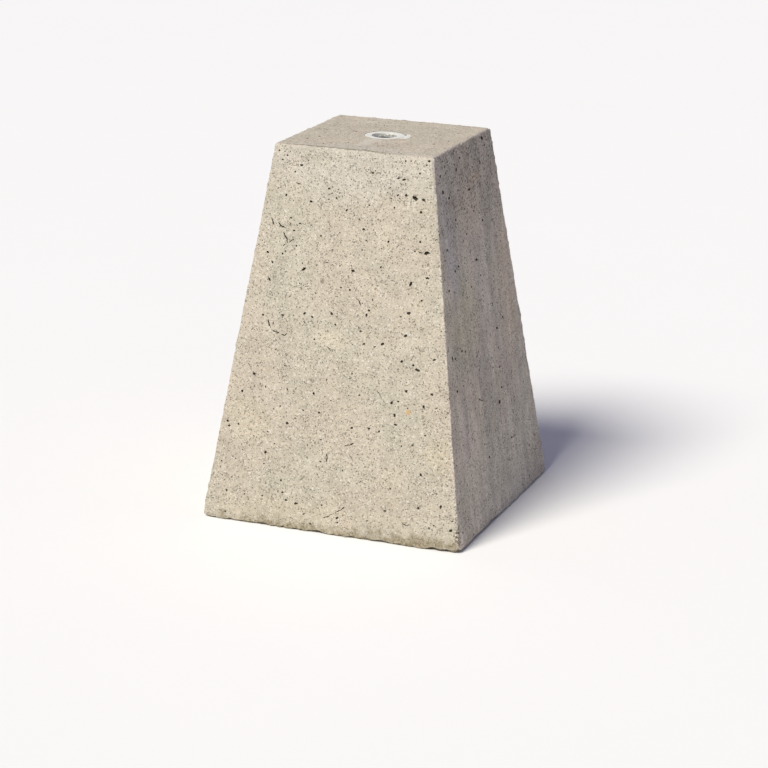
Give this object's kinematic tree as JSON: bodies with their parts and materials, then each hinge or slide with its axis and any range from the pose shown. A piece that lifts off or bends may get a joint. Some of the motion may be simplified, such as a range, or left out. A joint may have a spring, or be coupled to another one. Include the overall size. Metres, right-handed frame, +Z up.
{
  "type": "concrete column base block",
  "caption": "Square concrete block that tapers towards the top, with a threaded sleeve cast into the top face to bolt a column or post foot to.",
  "frame": {"origin": "centre of the underside, on the surface that the block stands on", "axes": "+Z up, along the bore of the sleeve; +X and +Y square to two neighbouring sides"},
  "size_m": [0.2992, 0.2992, 0.41],
  "materials": {
    "concrete": "rough cast concrete with pinholes, warm grey",
    "collar": "matte white plastic, scuffed",
    "sleeve": "zinc-plated steel, dull"
  },
  "bodies": {
    "root": {"concrete_block": "concrete", "insert_collar": "collar", "threaded_sleeve": "sleeve"}
  },
  "joints": []
}
